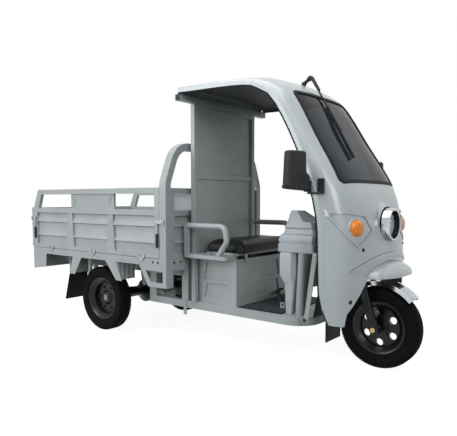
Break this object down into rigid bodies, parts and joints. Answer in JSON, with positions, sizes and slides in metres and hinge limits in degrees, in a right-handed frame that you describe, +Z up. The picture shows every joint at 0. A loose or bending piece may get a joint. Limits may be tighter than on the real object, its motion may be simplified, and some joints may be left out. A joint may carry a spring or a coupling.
{
  "type": "cargo tricycle",
  "caption": "Electric cargo tricycle with a half-open moulded cab, drop-side steel bed, sprung rear axle and raked front fork.",
  "frame": {"origin": "on the ground under the middle of the overall length and width", "axes": "+X forward along the length, +Y to the rider's left, +Z up"},
  "size_m": [3.14, 1.3134, 1.7972],
  "materials": {
    "body_paint": "silver-grey gloss paint on moulded plastic",
    "frame_paint": "silver-grey satin paint on steel",
    "grey_plastic": "grained grey moulding",
    "black_rubber": "matt black",
    "tyre_rubber": "matt black tread",
    "black_steel": "satin black paint",
    "motor_aluminium": "cast",
    "bright_steel": "bright plated",
    "clear_glass": "clear",
    "amber_lens": "amber lens",
    "red_lens": "red lens",
    "seat_cover": "black vinyl",
    "battery_case": "black case",
    "black_plastic": "grained black"
  },
  "bodies": {
    "chassis": {"chassis_frame": "frame_paint", "bed_frame": "frame_paint", "bed_floor": "frame_paint", "front_wall": "frame_paint", "front_hoop": "frame_paint", "wheel_brackets": "frame_paint", "rear_flaps": "black_rubber", "tail_lamps": "red_lens", "leaf_springs": "black_steel", "cab_wall": "frame_paint", "roof_beam": "frame_paint", "cab_shell": "body_paint", "shell_trim": "black_rubber", "windscreen_gasket": "black_rubber", "windscreen_glass": "clear_glass", "nose_visor": "body_paint", "headlight_bezel": "bright_steel", "headlight_lens": "clear_glass", "turn_lamps": "amber_lens", "seat_box": "frame_paint", "battery_pack": "battery_case", "arm_rests": "frame_paint", "cab_floor": "frame_paint", "floor_mat": "black_rubber", "dash_console": "grey_plastic", "cab_braces": "frame_paint", "steering_head": "frame_paint", "inner_guard": "black_rubber", "mirror_mounts": "black_plastic"},
    "rear_axle_unit": {"rear_axle": "black_steel", "drive_motor": "motor_aluminium"},
    "rear_wheel_right": {"rear_rim_right": "black_steel", "rear_tyre_right": "tyre_rubber"},
    "rear_wheel_left": {"rear_rim_left": "black_steel", "rear_tyre_left": "tyre_rubber"},
    "steering": {"steering_yoke": "black_steel", "steering_stem": "black_steel", "handlebar": "black_steel"},
    "fork_lower": {"fork_sliders": "black_steel", "front_axle": "black_steel", "front_mudguard": "bright_steel"},
    "front_wheel": {"front_rim": "black_steel", "front_tyre": "tyre_rubber"},
    "throttle": {"throttle_grip": "black_rubber"},
    "lever_right": {"brake_lever_right": "motor_aluminium"},
    "lever_left": {"brake_lever_left": "motor_aluminium"},
    "pedal": {"brake_pedal": "black_steel"},
    "gate_right": {"side_gate_right": "frame_paint"},
    "gate_left": {"side_gate_left": "frame_paint"},
    "gate_rear": {"tailgate": "frame_paint"},
    "catch_front_right": {"latch_front_right": "black_steel"},
    "catch_front_left": {"latch_front_left": "black_steel"},
    "catch_rear_right": {"latch_rear_right": "black_steel"},
    "catch_rear_left": {"latch_rear_left": "black_steel"},
    "seat": {"seat_pan": "black_steel", "seat_cushion": "seat_cover"},
    "hasp": {"seat_hasp": "bright_steel"},
    "mirror_head_right": {"mirror_right": "black_plastic"},
    "mirror_head_left": {"mirror_left": "black_plastic"},
    "wiper": {"wiper_arm": "black_plastic"}
  },
  "joints": [
    {"name": "rear_suspension", "type": "slide", "parent": "chassis", "child": "rear_axle_unit", "axis": [0, 0, 1], "range_m": [-0.025, 0.035], "stiffness_N_per_m": 60000, "springref_m": -0.032, "deforming": ["leaf_springs"]},
    {"name": "rear_wheel_right_spin", "type": "hinge", "parent": "rear_axle_unit", "child": "rear_wheel_right", "pos_m": [-0.705, -0.442, 0.245], "axis": [0, 1, 0], "continuous": true},
    {"name": "rear_wheel_left_spin", "type": "hinge", "parent": "rear_axle_unit", "child": "rear_wheel_left", "pos_m": [-0.705, 0.442, 0.245], "axis": [0, 1, 0], "continuous": true},
    {"name": "steering_turn", "type": "hinge", "parent": "chassis", "child": "steering", "pos_m": [1.11771, 0, 0.76647], "axis": [-0.309, 0, 0.9511], "range_deg": [-32, 32]},
    {"name": "fork_travel", "type": "slide", "parent": "steering", "child": "fork_lower", "axis": [-0.309, 0, 0.9511], "range_m": [-0.015, 0.035], "stiffness_N_per_m": 22000, "springref_m": -0.03},
    {"name": "front_wheel_spin", "type": "hinge", "parent": "fork_lower", "child": "front_wheel", "pos_m": [1.325, 0, 0.245], "axis": [0, 1, 0], "continuous": true},
    {"name": "throttle_twist", "type": "hinge", "parent": "steering", "child": "throttle", "pos_m": [0.97915, -0.318, 1.08349], "axis": [-0.2506, -0.9681, 0], "range_deg": [0, 60], "stiffness_Nm_per_rad": 0.6, "springref_deg": -5.73},
    {"name": "brake_lever_right_pull", "type": "hinge", "parent": "steering", "child": "lever_right", "pos_m": [1.05675, -0.1914, 1.08349], "axis": [0, 0, -1], "range_deg": [0, 12], "stiffness_Nm_per_rad": 6, "springref_deg": -2.86},
    {"name": "brake_lever_left_pull", "type": "hinge", "parent": "steering", "child": "lever_left", "pos_m": [1.05675, 0.1914, 1.08349], "axis": [0, 0, 1], "range_deg": [0, 12], "stiffness_Nm_per_rad": 6, "springref_deg": -2.86},
    {"name": "brake_pedal_press", "type": "hinge", "parent": "chassis", "child": "pedal", "pos_m": [0.735, -0.15, 0.326], "axis": [0, 1, 0], "range_deg": [0, 20], "stiffness_Nm_per_rad": 20, "springref_deg": -8.59},
    {"name": "side_gate_right_drop", "type": "hinge", "parent": "chassis", "child": "gate_right", "pos_m": [-0.765, -0.551, 0.6045], "axis": [1, 0, 0], "range_deg": [0, 165]},
    {"name": "side_gate_left_drop", "type": "hinge", "parent": "chassis", "child": "gate_left", "pos_m": [-0.765, 0.551, 0.6045], "axis": [-1, 0, 0], "range_deg": [0, 165]},
    {"name": "tailgate_drop", "type": "hinge", "parent": "chassis", "child": "gate_rear", "pos_m": [-1.564, 0, 0.6045], "axis": [0, -1, 0], "range_deg": [0, 165]},
    {"name": "latch_front_right_lift", "type": "hinge", "parent": "gate_right", "child": "catch_front_right", "pos_m": [-0.016, -0.546, 0.85], "axis": [0, -1, 0], "range_deg": [0, 60]},
    {"name": "latch_front_left_lift", "type": "hinge", "parent": "gate_left", "child": "catch_front_left", "pos_m": [-0.016, 0.546, 0.85], "axis": [0, -1, 0], "range_deg": [0, 60]},
    {"name": "latch_rear_right_lift", "type": "hinge", "parent": "gate_right", "child": "catch_rear_right", "pos_m": [-1.498, -0.546, 0.85], "axis": [0, 1, 0], "range_deg": [0, 60]},
    {"name": "latch_rear_left_lift", "type": "hinge", "parent": "gate_left", "child": "catch_rear_left", "pos_m": [-1.498, 0.546, 0.85], "axis": [0, 1, 0], "range_deg": [0, 60]},
    {"name": "seat_lift", "type": "hinge", "parent": "chassis", "child": "seat", "pos_m": [0.226, 0, 0.6426], "axis": [0, -1, 0], "range_deg": [0, 45]},
    {"name": "seat_hasp_swing", "type": "hinge", "parent": "seat", "child": "hasp", "pos_m": [0.478, -0.21, 0.6453], "axis": [0, -1, 0], "range_deg": [0, 95]},
    {"name": "mirror_right_fold", "type": "hinge", "parent": "chassis", "child": "mirror_head_right", "pos_m": [1.1, -0.477, 1.06], "axis": [0, 0, -1], "range_deg": [-12, 45]},
    {"name": "mirror_left_fold", "type": "hinge", "parent": "chassis", "child": "mirror_head_left", "pos_m": [1.1, 0.477, 1.06], "axis": [0, 0, 1], "range_deg": [-12, 45]},
    {"name": "wiper_sweep", "type": "hinge", "parent": "chassis", "child": "wiper", "pos_m": [0.82976, 0, 1.7816], "axis": [0.8418, 0, 0.5398], "range_deg": [-30, 40]}
  ]
}
